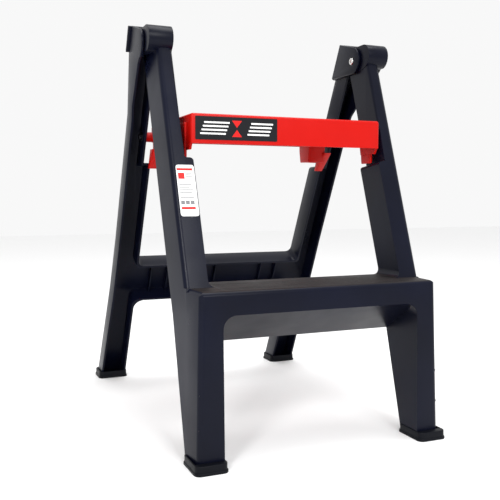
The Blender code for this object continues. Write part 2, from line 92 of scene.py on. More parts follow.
# %% Lights, world and floor
def soft_lamp(name, place, aim, size, power):
    """A square area lamp that faces a point."""
    data = bpy.data.lights.new(name, "AREA")
    data.shape = "SQUARE"
    data.size = size
    data.energy = power
    lamp = bpy.data.objects.new(name, data)
    lamp.location = place
    lamp.rotation_euler = (Vector(aim) - Vector(place)).to_track_quat("-Z", "Y").to_euler()
    bpy.context.scene.collection.objects.link(lamp)
    return lamp


soft_lamp("key", (0.1, -2.7, 1.9), (0, -0.1, 0.40), 1.1, 36)
soft_lamp("top", (0.3, -0.2, 2.6), (0, 0, 0.2), 1.4, 34)
soft_lamp("rim", (-1.9, -2.2, 1.7), (0, 0, 0.4), 0.45, 34)
world = bpy.data.worlds.new("studio")
world.use_nodes = True
world.node_tree.nodes["Background"].inputs["Color"].default_value = (1.0, 1.0, 1.0, 1.0)
world.node_tree.nodes["Background"].inputs["Strength"].default_value = 0.94
bpy.context.scene.world = world
bpy.context.scene.view_settings.view_transform = "Standard"

bpy.ops.object.select_all(action="DESELECT")
bpy.ops.mesh.primitive_plane_add(size=12.0, location=(0, 0, 0))
floor = bpy.context.object
floor.name = "floor"
paper = bpy.data.materials.new("paper")
paper.use_nodes = True
paper.node_tree.nodes["Principled BSDF"].inputs["Base Color"].default_value = (0.93, 0.93, 0.93, 1)
paper.node_tree.nodes["Principled BSDF"].inputs["Roughness"].default_value = 0.9
floor.data.materials.append(paper)
print("three lamps and a floor")

# %% [markdown]
# The plastics are satin polypropylene. The mould leaves a fine leathery grain, flow makes faint
# long clouds, and handling polishes some places more than others. All of it comes from noise on
# Object coordinates, so it stays on the surface when a frame folds.


# %% Plastic finish
def node(tree, kind, **inputs):
    """Add a node and set its sockets by name."""
    made = tree.nodes.new(kind)
    for key, value in inputs.items():
        made.inputs[key.replace("_", " ")].default_value = value
    return made


def noise_at(tree, scale, detail=3.0, stretch=(1, 1, 1)):
    """Noise on Object coordinates, stretched by a Mapping node."""
    place = tree.nodes.new("ShaderNodeTexCoord")
    mapping = tree.nodes.new("ShaderNodeMapping")
    mapping.inputs["Scale"].default_value = stretch
    noise = node(tree, "ShaderNodeTexNoise", Scale=scale, Detail=detail)
    tree.links.new(place.outputs["Object"], mapping.inputs["Vector"])
    tree.links.new(mapping.outputs["Vector"], noise.inputs["Vector"])
    return noise


def ramp(tree, source, low, high, dark, light):
    """Turn a noise value into a colour between two, over a part of its range."""
    made = tree.nodes.new("ShaderNodeValToRGB")
    made.color_ramp.elements[0].position = low
    made.color_ramp.elements[0].color = (*dark, 1)
    made.color_ramp.elements[1].position = high
    made.color_ramp.elements[1].color = (*light, 1)
    tree.links.new(source, made.inputs["Fac"])
    return made


def moulded(name, dark, light, rough, grain=0.10, streak=(1, 1, 1), grain_size=900.0, shine=0.22):
    """Moulded plastic: clouded colour, uneven gloss and a fine grain."""
    made = bpy.data.materials.new(name)
    made.use_nodes = True
    tree = made.node_tree
    shader = tree.nodes["Principled BSDF"]
    shader.inputs["Specular IOR Level"].default_value = shine
    clouds = noise_at(tree, 7.0, 4.0, streak)
    color = ramp(tree, clouds.outputs["Fac"], 0.35, 0.68, dark, light)
    tree.links.new(color.outputs["Color"], shader.inputs["Base Color"])
    handled = noise_at(tree, 16.0, 5.0)
    gloss = tree.nodes.new("ShaderNodeMapRange")
    gloss.inputs["From Min"].default_value = 0.3
    gloss.inputs["From Max"].default_value = 0.7
    gloss.inputs["To Min"].default_value = rough - 0.05
    gloss.inputs["To Max"].default_value = rough + 0.06
    tree.links.new(handled.outputs["Fac"], gloss.inputs["Value"])
    tree.links.new(gloss.outputs["Result"], shader.inputs["Roughness"])
    leather = noise_at(tree, grain_size, 2.0)
    bump = node(tree, "ShaderNodeBump", Strength=grain, Distance=0.0004)
    tree.links.new(leather.outputs["Fac"], bump.inputs["Height"])
    tree.links.new(bump.outputs["Normal"], shader.inputs["Normal"])
    return made


slate = moulded("slate_plastic", (0.0016, 0.0022, 0.0072), (0.0030, 0.0041, 0.0128), 0.32,
                shine=0.13)
tread_grey = moulded("tread_grip", (0.0075, 0.0060, 0.0064), (0.0170, 0.0135, 0.0142), 0.58,
                     grain=0.5, streak=(1, 9, 1), grain_size=420.0, shine=0.16)
red = moulded("red_plastic", (0.41, 0.0022, 0.0006), (0.48, 0.0036, 0.0010), 0.34, shine=0.16)
rubber = moulded("foot_plastic", (0.0016, 0.0020, 0.0038), (0.0030, 0.0036, 0.0066), 0.44,
                 grain=0.2, shine=0.12)
nylon = moulded("nylon", (0.62, 0.60, 0.54), (0.70, 0.69, 0.63), 0.48)
print("plastics:", slate.name, tread_grey.name, red.name, rubber.name, nylon.name)

# %% [markdown]
# The small fasteners are zinc-plated steel and brass, and the pivot pins are blackened, so they
# hide. Plating is bright but not even: turning leaves fine rings, and salts a faint mottle.


# %% Metal finish
def plated(name, dark, light, rough):
    """Plated or turned metal with a mottled gloss."""
    made = bpy.data.materials.new(name)
    made.use_nodes = True
    tree = made.node_tree
    shader = tree.nodes["Principled BSDF"]
    shader.inputs["Metallic"].default_value = 1.0
    mottle = noise_at(tree, 260.0, 4.0)
    color = ramp(tree, mottle.outputs["Fac"], 0.3, 0.7, dark, light)
    tree.links.new(color.outputs["Color"], shader.inputs["Base Color"])
    shader.inputs["Roughness"].default_value = rough
    rings = noise_at(tree, 60.0, 2.0, (30, 1, 1))
    bump = node(tree, "ShaderNodeBump", Strength=0.15, Distance=0.0002)
    tree.links.new(rings.outputs["Fac"], bump.inputs["Height"])
    tree.links.new(bump.outputs["Normal"], shader.inputs["Normal"])
    return made


zinc = plated("zinc_steel", (0.62, 0.62, 0.61), (0.80, 0.80, 0.78), 0.24)
brass = plated("brass", (0.62, 0.44, 0.18), (0.76, 0.56, 0.26), 0.32)
black_zinc = plated("black_zinc", (0.020, 0.020, 0.023), (0.045, 0.045, 0.050), 0.36)
print("metals:", zinc.name, brass.name, black_zinc.name)

# %% [markdown]
# A maker shapes such a frame from blocks: a block is cut down plane by plane, openings are cut
# out of it with other blocks, its edges are rounded, and only then is it hollowed, so that the
# rounding stays on the outside. These helpers are those few moves.


# %% Shaping helpers
FRONT_LEAN = math.radians(19.8)
REAR_LEAN = math.radians(26.9)
WELD = 0.000005


def front_point(x, down, back):
    """A point given along and square to the front frame."""
    return Vector((x, HINGE.y - down * math.sin(FRONT_LEAN) + back * math.cos(FRONT_LEAN),
                   HINGE.z - down * math.cos(FRONT_LEAN) - back * math.sin(FRONT_LEAN)))


def rear_point(x, down, back):
    """A point given along and square to the rear frame."""
    return Vector((x, HINGE.y + down * math.sin(REAR_LEAN) + back * math.cos(REAR_LEAN),
                   HINGE.z - down * math.cos(REAR_LEAN) + back * math.sin(REAR_LEAN)))


FRONT_DOWN = (front_point(0, 1, 0) - HINGE).normalized()
FRONT_BACK = (front_point(0, 0, 1) - HINGE).normalized()
REAR_DOWN = (rear_point(0, 1, 0) - HINGE).normalized()
REAR_BACK = (rear_point(0, 0, 1) - HINGE).normalized()


def block(name, low, high):
    """A box between two corners, ready to be shaped."""
    low = Vector(low)
    high = Vector(high)
    bpy.ops.object.select_all(action="DESELECT")
    bpy.ops.mesh.primitive_cube_add(size=1.0, location=(low + high) / 2, scale=high - low)
    made = bpy.context.object
    made.name = name
    made.data.name = name
    bpy.ops.object.transform_apply(location=True, rotation=True, scale=True)
    return made


def trim(thing, cuts):
    """Cut away what lies beyond each plane, given by a point and the way it faces."""
    activate(thing)
    bpy.ops.object.mode_set(mode="EDIT")
    for point, facing in cuts:
        bpy.ops.mesh.select_all(action="SELECT")
        bpy.ops.mesh.bisect(plane_co=point, plane_no=facing, use_fill=True, clear_outer=True,
                            threshold=1e-6)
    bpy.ops.object.mode_set(mode="OBJECT")
    return thing


def activate(thing):
    """Make one object the only selected and the active one."""
    bpy.ops.object.select_all(action="DESELECT")
    thing.select_set(True)
    bpy.context.view_layer.objects.active = thing


def combine(thing, tool, how="DIFFERENCE"):
    """Cut, join or keep the common part with another object, which is used up."""
    activate(thing)
    step = thing.modifiers.new("combine", "BOOLEAN")
    step.operation = how
    step.solver = "EXACT"
    step.object = tool
    bpy.ops.object.modifier_apply(modifier=step.name)
    bpy.data.objects.remove(tool)
    bpy.ops.object.mode_set(mode="EDIT")
    bpy.ops.mesh.select_all(action="SELECT")
    bpy.ops.mesh.remove_doubles(threshold=WELD)
    bpy.ops.object.mode_set(mode="OBJECT")
    return thing


def round_edges(thing, width, segments=4, angle=24):
    """Round every edge sharper than an angle."""
    activate(thing)
    step = thing.modifiers.new("round", "BEVEL")
    step.width = width
    step.segments = segments
    step.limit_method = "ANGLE"
    step.angle_limit = math.radians(angle)
    step.miter_outer = "MITER_ARC"
    step.use_clamp_overlap = True
    bpy.ops.object.modifier_apply(modifier=step.name)
    return thing


def round_some(thing, wanted, width, segments=5):
    """Round the edges for which wanted(a, b) is true, a and b being their ends."""
    activate(thing)
    bpy.ops.object.mode_set(mode="EDIT")
    bpy.ops.mesh.select_all(action="DESELECT")
    bpy.ops.mesh.select_mode(type="EDGE")
    shape = bmesh.from_edit_mesh(thing.data)
    for edge in shape.edges:
        edge.select_set(wanted(edge.verts[0].co, edge.verts[1].co))
    bmesh.update_edit_mesh(thing.data)
    bpy.ops.mesh.bevel(offset=width, segments=segments, affect="EDGES")
    bpy.ops.object.mode_set(mode="OBJECT")
    return thing


def finish_piece(thing, name, look, body, replaces=(), angle=30):
    """Clean, shade and hand over a finished piece."""
    thing.name = name
    thing.data.name = name
    activate(thing)
    bpy.ops.object.mode_set(mode="EDIT")
    bpy.ops.mesh.select_all(action="SELECT")
    bpy.ops.mesh.remove_doubles(threshold=0.00002)
    bpy.ops.mesh.dissolve_degenerate(threshold=0.00002)
    bpy.ops.mesh.normals_make_consistent(inside=False)
    bpy.ops.object.mode_set(mode="OBJECT")
    bpy.ops.object.shade_smooth_by_angle(angle=math.radians(angle))
    thing.data.materials.clear()
    thing.data.materials.append(look)
    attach(thing, body)
    if replaces:
        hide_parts(*replaces)
    print(name, len(thing.data.polygons), "faces on", body)
    return thing


def rod(name, center, radius, x0, x1, steps=48):
    """A cylinder along X."""
    bpy.ops.object.select_all(action="DESELECT")
    bpy.ops.mesh.primitive_cylinder_add(vertices=steps, radius=radius, depth=x1 - x0,
                                        location=((x0 + x1) / 2, center[0], center[1]),
                                        rotation=(0, math.pi / 2, 0))
    made = bpy.context.object
    made.name = name
    bpy.ops.object.transform_apply(location=True, rotation=True, scale=True)
    return made


def span(side, a, b):
    """An X range on the left (-1) or right (1), lowest first."""
    return tuple(sorted((side * a, side * b)))


def profile(name, outline, x0, x1):
    """Draw a (y, z) outline as one flat face and extrude it along X."""
    bpy.ops.object.select_all(action="DESELECT")
    bpy.ops.mesh.primitive_circle_add(vertices=len(outline), radius=1.0, fill_type="NGON")
    made = bpy.context.object
    made.name = name
    for point, (y, z) in zip(made.data.vertices, outline):
        point.co = (x0, y, z)
    bpy.ops.object.mode_set(mode="EDIT")
    bpy.ops.mesh.select_all(action="SELECT")
    bpy.ops.mesh.extrude_region_move(TRANSFORM_OT_translate={"value": (x1 - x0, 0, 0)})
    bpy.ops.mesh.select_all(action="SELECT")
    bpy.ops.mesh.normals_make_consistent(inside=False)
    bpy.ops.object.mode_set(mode="OBJECT")
    return made


def join(things):
    """Join several pieces into the first one."""
    activate(things[0])
    for thing in things:
        thing.select_set(True)
    bpy.ops.object.join()
    return things[0]


def hull(things):
    """Wrap several pieces in their convex hull."""
    made = join(things)
    bpy.ops.object.mode_set(mode="EDIT")
    bpy.ops.mesh.select_all(action="SELECT")
    bpy.ops.mesh.convex_hull()
    bpy.ops.object.mode_set(mode="OBJECT")
    return flatten(made)


def flatten(thing):
    """Merge doubled points and dissolve edges between coplanar faces."""
    activate(thing)
    bpy.ops.object.mode_set(mode="EDIT")
    bpy.ops.mesh.select_all(action="SELECT")
    bpy.ops.mesh.remove_doubles(threshold=0.00001)
    bpy.ops.mesh.dissolve_limited(angle_limit=math.radians(0.4))
    bpy.ops.object.mode_set(mode="OBJECT")
    return thing


def report(label, thing):
    """Print a piece's faces, the edges that don't join just two of them, and its volume."""
    shape = bmesh.new()
    shape.from_mesh(thing.data)
    odd_edges = sum(1 for edge in shape.edges if not edge.is_manifold)
    print(label, len(shape.faces), "faces", odd_edges, "odd edges",
          round(shape.calc_volume() * 1e6), "cm3")
    shape.free()


WALL = 0.004
print("helpers ready, wall", WALL)

# %% [markdown]
# The front frame is one moulding. Its solid form is a tread-and-leg block and a slanted rail
# block, joined, with the long front edges and the nose of the tread rounded as in the mould. A
# wide well is cut between the rails, a notch thins them above their shoulders, and an arch with a
# slanted roof is cut between the legs: that roof is the scooped apron under the nosing.

# %% Front frame, solid form
FRONT_FACE = -0.038
FRONT_RIM = 0.022
TREAD_TOP = 0.2565
NOSE_Y = -0.3066
LEG_END = 0.0045
SHOULDER_SLOPE = 0.133
SHOULDER = Vector((0, -0.1822, 0.4513))
SHOULDER_NORMAL = Vector((0, -SHOULDER_SLOPE, -1.0)).normalized()
FRONT_HALF_WIDTH = 0.2125             # at the hinge's height, and 4 mm less near the floor
FRONT_RAIL_INNER = 0.168              # below the shoulders
FRONT_RAIL_INNER_TOP = 0.182          # above them
FRONT_LEG_INNER = 0.165
FRONT_EDGE = 0.0080                   # radius of the long front edges
SAME = 1e-5                           # two places closer than this are one
THIN_INSET = 0.003                    # a form inset by less keeps its rounded edges


def front_side(side, inset):
    """The outer side of the front frame: drafted, and a little narrower towards the floor."""
    over_hinge = side * (FRONT_HALF_WIDTH - inset)
    corner = front_point(over_hinge, 0, FRONT_RIM)
    along = front_point(over_hinge - side * 0.004, 0.70, FRONT_RIM) - corner
    across = front_point(over_hinge - side * 0.006, 0, FRONT_RIM - 0.06) - corner
    facing = along.cross(across).normalized()
    return corner, facing if facing.x * side > 0 else -facing


def front_long_edge(a, b):
    """True for the long front edges and for the nose of the tread."""
    if abs(a.x - b.x) > 0.1:
        return (a.y + b.y) / 2 < NOSE_Y + 0.002 and (a.z + b.z) / 2 > TREAD_TOP - 0.002
    if abs(a.z - b.z) < 0.02 and abs(a.y - b.y) < 0.02:
        return False
    back = max((p - HINGE).dot(FRONT_BACK) for p in (a, b))
    return back < FRONT_RIM - 0.02


def shoulder_edge(a, b):
    """True for the edge where a shoulder meets the inner face of the rail below it."""
    return all(abs(abs(p.x) - FRONT_RAIL_INNER) < SAME and
               abs((p - SHOULDER).dot(SHOULDER_NORMAL)) < 1e-4 for p in (a, b))


def inner_front_edge(a, b):
    """True for the long inner edges of the rails' front faces."""
    return ((a - b).length > 0.08 and abs(a.x) < 0.190 and abs(a.x - b.x) < 1e-4 and
            all(abs((p - HINGE).dot(FRONT_BACK) - FRONT_FACE) < 0.0032 for p in (a, b)))


def front_form(inset, rim):
    """The solid form, or its hollow when inset; rim is how far it runs out at the back."""
    sides = [front_side(side, inset) for side in (-1, 1)]
    run_out = FRONT_BACK * rim
    leg_face = Vector((0, -(TREAD_TOP - LEG_END), NOSE_Y + 0.3125)).normalized()
    rim_foot = Vector((0, -0.2667, LEG_END)) + run_out
    up = (front_point(0, 0.45, FRONT_RIM) + run_out - rim_foot).normalized()
    low = block("low", (-0.25, -0.40, -0.10 if inset else LEG_END), (0.25, 0.05, TREAD_TOP - inset))
    trim(low, sides + [(Vector((0, NOSE_Y, TREAD_TOP)) - leg_face * inset, leg_face),
                       (rim_foot, Vector((0, up.z, -up.y)))])
    rails = block("rails", (-0.25, -0.45, 0.0), (0.25, 0.10, 0.70))
    trim(rails, sides + [(front_point(0, 0, FRONT_FACE + inset), -FRONT_BACK),
                         (front_point(0, 0, FRONT_RIM) + run_out, FRONT_BACK),
                         (front_point(0, 0.004 + 8 * inset, 0), -FRONT_DOWN),
                         (Vector((0, 0, 0.215)), Vector((0, 0, -1)))])
    if inset < THIN_INSET:
        round_some(low, front_long_edge, FRONT_EDGE - inset, 6)
        round_some(rails, front_long_edge, FRONT_EDGE - inset, 6)
    combine(low, rails, "UNION")
    post = FRONT_RAIL_INNER + inset
    well = block("well", (-post, -0.5, TREAD_TOP - inset), (post, 0.2, 0.8))
    round_some(well, lambda a, b: abs(a.x - b.x) < SAME and a.z + b.z < 0.7, 0.011 - inset, 6)
    combine(low, well)
    rail = FRONT_RAIL_INNER_TOP + inset
    notch = block("notch", (-rail, -0.5, 0.30), (rail, 0.2, 0.8))
    trim(notch, [(SHOULDER + SHOULDER_NORMAL * inset, SHOULDER_NORMAL)])
    round_some(notch, lambda a, b: abs(a.x - b.x) < SAME and a.z + b.z < 1.2, 0.0035, 4)
    combine(low, notch)
    if not inset:
        round_some(low, shoulder_edge, 0.0060, 6)
    if inset < THIN_INSET:
        round_some(low, inner_front_edge, 0.0052 - inset, 5)
    leg = FRONT_LEG_INNER + inset
    arch = block("arch", (-leg, -0.5, -0.2), (leg, 0.1, TREAD_TOP - 0.035 + inset))
    slope = Vector((0, 0.0535, 0.087)).normalized()
    trim(arch, [(Vector((0, -0.2196, 0.168)) + slope * inset, slope)])
    round_some(arch, lambda a, b: abs(a.x - b.x) < SAME and min(a.z, b.z) > 0, 0.020 - inset, 7)
    return combine(low, arch)


front = front_form(0.0, 0.0)
report("front frame solid", front)
UP = Vector((0, 0, 1))
TREAD_END_CUTS = ((45.0, 0.0040), (20.0, 0.0021), (70.0, 0.0021))   # slope in degrees, and depth
for side in (-1, 1):
    corner, outward = front_side(side, 0.0)
    end = Vector((0, -0.29, TREAD_TOP))
    end.x = corner.x - (outward.y * (end.y - corner.y) + outward.z * (end.z - corner.z)) / outward.x
    for angle, reach in TREAD_END_CUTS:
        facing = outward * math.sin(math.radians(angle)) + UP * math.cos(math.radians(angle))
        x0, x1 = span(side, 0.17, 0.24)
        wedge = block("wedge", (x0, -0.34, 0.225), (x1, -0.15, 0.28))
        trim(wedge, [(end - facing * reach, -facing),
                     (front_point(0, 0, FRONT_FACE - 0.0003), FRONT_BACK)])
        combine(front, wedge)
report("tread ends rounded", front)
combine(front, front_form(WALL, 0.03))
report("front frame shell", front)
round_edges(front, 0.0010, 2, 40)
report("front frame softened", front)

# %% [markdown]
# Inside, thin ribs stiffen the moulding: a grid under the tread, and short webs across each rail
# and leg. They sit a little back from the rim, as ribs do in a shell that must not rock. Each is
# trimmed by the frame's own solid form, a little inset, so that it ends within the walls.

# %% Front frame, ribs
HALF_WEB = 0.001
RIB_PITCH = 0.046
RAIL_WEB_HEIGHTS = (0.06, 0.11, 0.16, 0.30, 0.345, 0.39, 0.50, 0.55)
webs = []
for i in range(7):
    x = -0.138 + i * RIB_PITCH
    webs.append(block("web", (x - HALF_WEB, -0.30, 0.17), (x + HALF_WEB, -0.10, TREAD_TOP - 0.002)))
for side in (-1, 1):
    for z in RAIL_WEB_HEIGHTS:
        x0, x1 = span(side, 0.166, 0.216)
        webs.append(block("web", (x0, -0.33, z - HALF_WEB), (x1, 0.0, z + HALF_WEB)))
webs.append(block("web", (-0.19, -0.262, 0.205), (0.19, -0.260, TREAD_TOP - 0.002)))
ribs = combine(join(webs), front_form(0.0015, -0.012), "INTERSECT")
report("front frame's ribs", ribs)

# %% [markdown]
# The tread is ribbed for grip: shallow grooves run along it, close enough together to look like
# one grey field from a distance. They stop short of the ends, which stay smooth and easy to clean.

# %% Tread grooves
GROOVE_PITCH = 0.0033
HALF_GROOVE = 0.0008
GROOVE_REACH = 0.153
grooves = []
for i in range(25):
    y = -0.2968 + i * GROOVE_PITCH
    grooves.append(profile("groove", [(y - HALF_GROOVE, TREAD_TOP + 0.0003),
                                      (y, TREAD_TOP - 0.0006),
                                      (y + HALF_GROOVE, TREAD_TOP + 0.0003)],
                           -GROOVE_REACH, GROOVE_REACH))
combine(front, join(grooves))
report("front frame with grooves", front)

# %% [markdown]
# The hinge heads are wide barrels on top of the rails. Each is turned, grown forward into a nose,
# and bored for the nylon bush. Below, its outer end is cut back flush with the rail's side.

# %% Front frame, hinge heads
BARREL_RADIUS = 0.0247
NOSE_RADIUS = 0.0210
BUSH_BORE = 0.0095
for side in (-1, 1):
    x0, x1 = span(side, 0.1812, 0.2212)
    head = hull([rod("barrel", HINGE_AXIS, BARREL_RADIUS, x0, x1, 64),
                 rod("nose", (HINGE.y - 0.0310, HINGE.z + 0.0041), NOSE_RADIUS, x0, x1, 64)])
    x0, x1 = span(side, 0.2070, 0.24)
    combine(head, block("beside_rail", (x0, -0.20, 0.55), (x1, 0.0, HINGE.z - 0.0160)))
    round_edges(head, 0.0016, 3, 50)
    combine(front, head, "UNION")
    combine(front, rod("bore", HINGE_AXIS, BUSH_BORE, *span(side, 0.15, 0.25), 48))
report("front frame with heads", front)
join([front, ribs])
finish_piece(front, "front_shell", slate, "front", ["front_frame"])
front.data.materials.append(tread_grey)
for face in front.data.polygons:
    if face.normal.z > 0.5 and abs(face.center.z - TREAD_TOP) < 0.0012 and face.center.y > -0.3035:
        face.material_index = 1

# %% [markdown]
# The rear frame is the mirror of the idea: a channel that opens towards the front. Its side view
# is drawn, extruded and spread at its width stations, so the legs splay and the ears stand out.
# A well parts the rails, a notch thins their walls below the ears, and an arch parts the legs.

# %% Rear frame, solid form
REAR_RIM = 0.0228
REAR_BACKSIDE = 0.0627
ROOF_FRONT = -0.0495
REAR_WIDTHS = ((0.03, 0.2266), (0.1425, 0.2188), (0.40, 0.2188), (0.513, 0.2205), (0.735, 0.2278))
REAR_TOP = -0.013                     # this and the next five are distances down the frame
EAR_END = 0.1425
RAIL_END = 0.40
LEG_START = 0.52
CROSSBAR_TOP = 0.447
CROSSBAR_LOW = 0.530
REAR_RAIL_INNER = 0.1755
REAR_NOTCH_HALF = 0.188
WAIST_Z = 0.452
LEDGE_Z = 0.6165
REAR_FOOT_BACK = 0.3215


def rear_yz(down, back):
    """A rear frame point as (y, z)."""
    point = rear_point(0, down, back)
    return point.y, point.z


def rear_width(down):
    """Half the width over the outer faces at a distance down."""
    if down <= REAR_WIDTHS[0][0]:
        return REAR_WIDTHS[0][1]
    for (a, size_a), (b, size_b) in zip(REAR_WIDTHS, REAR_WIDTHS[1:]):
        if down <= b:
            return size_a + (size_b - size_a) * (down - a) / (b - a)
    return REAR_WIDTHS[-1][1]


def rear_outline(inset):
    """The side view of the solid form, or of its hollow, which runs out at the front."""
    back = REAR_BACKSIDE - inset
    line = [(REAR_FOOT_BACK - inset * 1.13, LEG_END if not inset else -0.05),
            rear_yz(LEG_START, back)]
    if inset:
        line[0] = (REAR_FOOT_BACK + 0.0545 * 0.531 - inset * 1.13, -0.05)
        top = rear_yz(REAR_TOP + inset, back)
        return line + [rear_yz(RAIL_END, back), rear_yz(EAR_END, back), rear_yz(0.03, back), top,
                       (ROOF_FRONT, top[1] - 0.006), (ROOF_FRONT, 0.72), (-0.30, 0.72),
                       rear_yz(EAR_END, REAR_RIM - 0.08), rear_yz(RAIL_END, REAR_RIM - 0.08),
                       rear_yz(LEG_START, REAR_RIM - 0.08), (0.18, -0.05)]
    line += [rear_yz(RAIL_END, back), rear_yz(EAR_END, back), rear_yz(0.03, back),
             rear_yz(REAR_TOP, back)]
    for i in range(19):
        angle = math.radians(100 + 162 * i / 18)
        line.append((HINGE.y + BARREL_RADIUS * math.cos(angle),
                     HINGE.z + BARREL_RADIUS * math.sin(angle)))
    return line + [rear_yz(0.115, REAR_RIM), rear_yz(EAR_END, REAR_RIM),
                   rear_yz(RAIL_END, REAR_RIM), rear_yz(LEG_START, REAR_RIM), (0.2795, LEG_END)]


def rear_down(point):
    """How far down the rear frame a point lies."""
    return (point - HINGE).dot(REAR_DOWN)


def rear_back_edge(a, b):
    """True for the long outer edges of the back."""
    if abs(a.x - b.x) > 0.1:
        return False
    return min((p - HINGE).dot(REAR_BACK) for p in (a, b)) > REAR_BACKSIDE - 0.006


def across(down):
    """A test for the edges of a cut that lie at one distance down and run along its depth."""
    return lambda a, b: (abs(a.x - b.x) < SAME and
                         all(abs(rear_down(p) - down) < 1e-4 for p in (a, b)))


def rear_cut(name, low, high, half):
    """A straight cut through the rear frame between two distances down."""
    return profile(name, [rear_yz(high, -0.15), rear_yz(high, 0.15), rear_yz(low, 0.15),
                          rear_yz(low, -0.15)], -half, half)


def ledge_edge(a, b):
    """True for the inner edges of the ledge below each ear and of the shoulder at the waist."""
    if any(abs(abs(p.x) - REAR_RAIL_INNER) > 1e-4 for p in (a, b)):
        return False
    return any(abs(a.z - z) < 1e-4 and abs(b.z - z) < 1e-4 for z in (LEDGE_Z, WAIST_Z))


def rear_form(inset):
    """The solid form of the rear frame, or its hollow when inset."""
    made = profile("rear", rear_outline(inset), -1.0, 1.0)
    activate(made)
    bpy.ops.object.mode_set(mode="EDIT")
    for down, _ in REAR_WIDTHS:
        bpy.ops.mesh.select_all(action="SELECT")
        bpy.ops.mesh.bisect(plane_co=rear_point(0, down, 0), plane_no=REAR_DOWN, threshold=1e-6)
    bpy.ops.object.mode_set(mode="OBJECT")
    for point in made.data.vertices:
        point.co.x = math.copysign(rear_width(rear_down(point.co)) - inset, point.co.x)
    if inset < THIN_INSET:
        round_some(made, rear_back_edge, 0.0065 - inset, 5)
    post = REAR_RAIL_INNER + inset
    well_end = CROSSBAR_TOP + inset
    combine(made, round_some(rear_cut("well", -0.2, well_end, post), across(well_end),
                             0.011 - inset, 6))
    notch = block("notch", (-REAR_NOTCH_HALF - inset, -0.3, WAIST_Z - inset),
                  (REAR_NOTCH_HALF + inset, 0.3, LEDGE_Z + inset))
    combine(made, notch)
    if not inset:
        round_some(made, ledge_edge, 0.0050, 5)
    recess = profile("recess", [rear_yz(-0.05, 0.0560 - inset), rear_yz(-0.05, 0.10),
                                rear_yz(0.12, 0.10), rear_yz(0.12, 0.0560 - inset)],
                     -REAR_NOTCH_HALF - inset, REAR_NOTCH_HALF + inset)
    combine(made, recess)
    arch_start = CROSSBAR_LOW - inset
    arch = rear_cut("arch", arch_start, 0.95, post)
    return combine(made, round_some(arch, across(arch_start), 0.020 - inset, 7))


rear = rear_form(0.0)
report("rear frame solid", rear)
combine(rear, rear_form(WALL))
report("rear frame shell", rear)
round_edges(rear, 0.0009, 2, 40)
report("rear frame softened", rear)

# %% [markdown]
# Low webs stiffen the crossbar, more closely set near its ends, where bending is worst. The rails
# keep a clear channel. A slightly wider flange edges the back of each ear, where the hinge pulls.

# %% Rear frame, webs
CROSSBAR_WEBS = (-0.140, -0.105, 0.0, 0.105, 0.140)
webs = []
for x in CROSSBAR_WEBS:
    webs.append(profile("web", [rear_yz(0.535, REAR_RIM + 0.024), rear_yz(0.535, 0.09),
                                rear_yz(0.442, 0.09), rear_yz(0.442, REAR_RIM + 0.024)],
                        x - HALF_WEB, x + HALF_WEB))
rear_webs = combine(join(webs), rear_form(0.0015), "INTERSECT")
for side in (-1, 1):
    flange = profile("flange", [rear_yz(0.0200, 0.0570), rear_yz(0.0330, 0.0627),
                                rear_yz(-0.0130, 0.0627), rear_yz(-0.0130, 0.0570)],
                     *span(side, 0.2180, 0.2312))
    combine(rear, round_edges(flange, 0.0010, 2, 30), "UNION")
report("rear frame's webs", rear_webs)

# %% [markdown]
# Each ear is slotted to take the front frame's head, bored for the bolt, and counterbored so that
# the head of the bolt and its washer sit half sunk in the inner face.

# %% Rear frame, hinge ears
EAR_SLOT = (0.1803, 0.2143)
BOLT_HOLE = 0.0062
COUNTERBORE_RADIUS = 0.0078
INSERT_POCKET = 0.0090
PIN_BORE = 0.0053
slot_low = rear_yz(0.16, REAR_RIM - 0.0001)
for side in (-1, 1):
    combine(rear, profile("slot", [(ROOF_FRONT, 0.72), (-0.3, 0.72), (-0.3, slot_low[1]), slot_low,
                                   (ROOF_FRONT, 0.6375)], *span(side, *EAR_SLOT)))
    combine(rear, rod("bolt_hole", HINGE_AXIS, BOLT_HOLE, *span(side, 0.17, 0.19)))
    combine(rear, rod("counterbore", HINGE_AXIS, COUNTERBORE_RADIUS, *span(side, 0.17, 0.1783)))
    combine(rear, rod("pocket", HINGE_AXIS, INSERT_POCKET, *span(side, 0.20, 0.2252)))
    combine(rear, rod("pin_hole", PIVOT_AXIS, PIN_BORE, *span(side, 0.18, 0.20)))
report("rear frame with ears", rear)
join([rear, rear_webs])
finish_piece(rear, "rear_shell", slate, "rear", ["rear_frame"])

# %% [markdown]
# The platform is a red tray, moulded upside down: a top with side walls, a deep front bar, a web
# of ribs below, and a tongue and a lug at each side. The tongues rest on the shoulders of the
# front rails, and the stop below each lug bears on the rim of the rear frame.

# %% Platform
TOP = 0.5206
FRONT_BAR = -0.1819
REAR_BAR = 0.0544
TRAY_HALF = 0.1705
TRAY_HALF_INSIDE = 0.1665
BAR_LOW = 0.4737
SIDE_LOW_FRONT = 0.4646
SIDE_LOW_REAR = 0.4885
HALF_RIB = 0.0012
side_view = [(FRONT_BAR, BAR_LOW), (FRONT_BAR + 0.006, BAR_LOW), (FRONT_BAR + 0.012, SIDE_LOW_FRONT),
             (-0.1270, SIDE_LOW_FRONT), (-0.1220, SIDE_LOW_REAR), (0.030, SIDE_LOW_REAR),
             (REAR_BAR, 0.4900), (REAR_BAR, TOP), (FRONT_BAR, TOP)]
tray = profile("tray", side_view, -TRAY_HALF, TRAY_HALF)
round_some(tray, lambda a, b: max(a.z, b.z) > TOP - SAME and
           (min(a.z, b.z) > TOP - SAME or a.y + b.y < 2 * FRONT_BAR + SAME), 0.0045, 5)
under = TOP - 0.005
combine(tray, block("pocket", (-TRAY_HALF_INSIDE, FRONT_BAR + WALL, 0.40),
                    (TRAY_HALF_INSIDE, REAR_BAR - WALL, under)))
